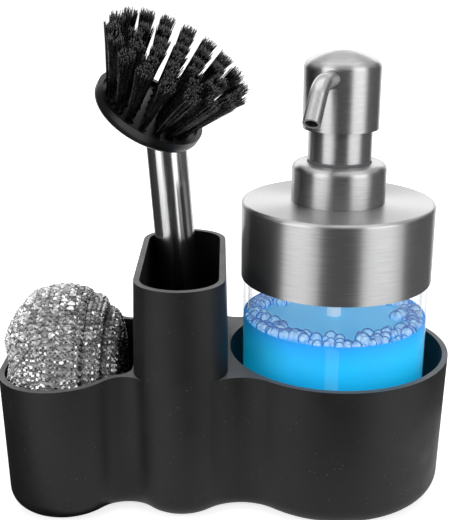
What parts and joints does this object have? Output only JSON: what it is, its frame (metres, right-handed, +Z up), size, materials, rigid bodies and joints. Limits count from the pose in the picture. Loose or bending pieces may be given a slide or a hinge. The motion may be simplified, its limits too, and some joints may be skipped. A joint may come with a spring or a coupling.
{
  "type": "soap pump caddy",
  "caption": "Moulded rubber sink caddy with three wells holding a steel-covered clear soap pump, a steel-handled dish brush and a knitted steel scourer.",
  "frame": {"origin": "on the flat base, at the middle of the caddy's length and depth", "axes": "+X along the row of wells to the soap pump, +Y to the back, +Z up"},
  "size_m": [0.1899, 0.1015, 0.1998],
  "materials": {
    "silicone": "matte moulded rubber",
    "knitted_steel": "bright knitted wire",
    "stainless": "fine brushed",
    "black_plastic": "smooth satin",
    "bristle": "nylon filament",
    "wire": "bright drawn wire",
    "clear_bottle": "clear",
    "soap": "clear blue liquid",
    "seal": "soft moulded",
    "pump_plastic": "natural moulded",
    "tube_plastic": "translucent"
  },
  "bodies": {
    "caddy": {"caddy_body": "silicone"},
    "scourer_pad": {"scourer": "knitted_steel"},
    "brush": {"handle_tube": "stainless", "handle_end_plug": "black_plastic", "head_collar": "black_plastic", "brush_head": "black_plastic", "bristle_tufts": "bristle", "tuft_anchors": "wire"},
    "dispenser": {"bottle": "clear_bottle", "cover_shell": "stainless", "soap_fill": "soap"},
    "neck_seal": {"neck_gasket": "seal"},
    "pump": {"pump_housing": "pump_plastic", "lock_ring": "pump_plastic", "sleeve_shell": "stainless", "inlet_ball": "wire", "return_spring": "wire", "dip_tube": "tube_plastic"},
    "closure": {"closure_nut": "pump_plastic", "collar_shell": "stainless"},
    "piston": {"piston_seal": "seal"},
    "pump_head": {"stem": "pump_plastic", "stem_plug": "pump_plastic", "actuator_core": "pump_plastic", "dome_shell": "stainless", "spout": "stainless"}
  },
  "joints": [
    {"name": "scourer_lift", "type": "slide", "parent": "caddy", "child": "scourer_pad", "axis": [0, 0, 1], "range_m": [0, 0.06]},
    {"name": "brush_lift", "type": "slide", "parent": "caddy", "child": "brush", "axis": [-0.0775, 0.0869, 0.9932], "range_m": [0, 0.102]},
    {"name": "dispenser_lift", "type": "slide", "parent": "caddy", "child": "dispenser", "axis": [0, 0, 1], "range_m": [0, 0.062]},
    {"name": "closure_rise", "type": "slide", "parent": "dispenser", "child": "neck_seal", "axis": [0, 0, 1], "range_m": [0, 0.00455]},
    {"name": "pump_lift", "type": "slide", "parent": "neck_seal", "child": "pump", "axis": [0, 0, 1], "range_m": [0, 0.131]},
    {"name": "closure_turn", "type": "hinge", "parent": "pump", "child": "closure", "pos_m": [0.04435, 0, 0.135], "axis": [0, 0, 1], "range_deg": [0, 540]},
    {"name": "pump_press", "type": "slide", "parent": "pump", "child": "piston", "axis": [0, 0, -1], "range_m": [0, 0.013], "stiffness_N_per_m": 500, "springref_m": -0.006, "deforming": ["return_spring"]},
    {"name": "pump_turn", "type": "hinge", "parent": "piston", "child": "pump_head", "pos_m": [0.04435, 0, 0.178], "axis": [0, 0, 1], "continuous": true}
  ],
  "couplings": [
    {"joint": "closure_rise", "follows": "closure_turn", "m_per_rad": 0.00047746}
  ]
}
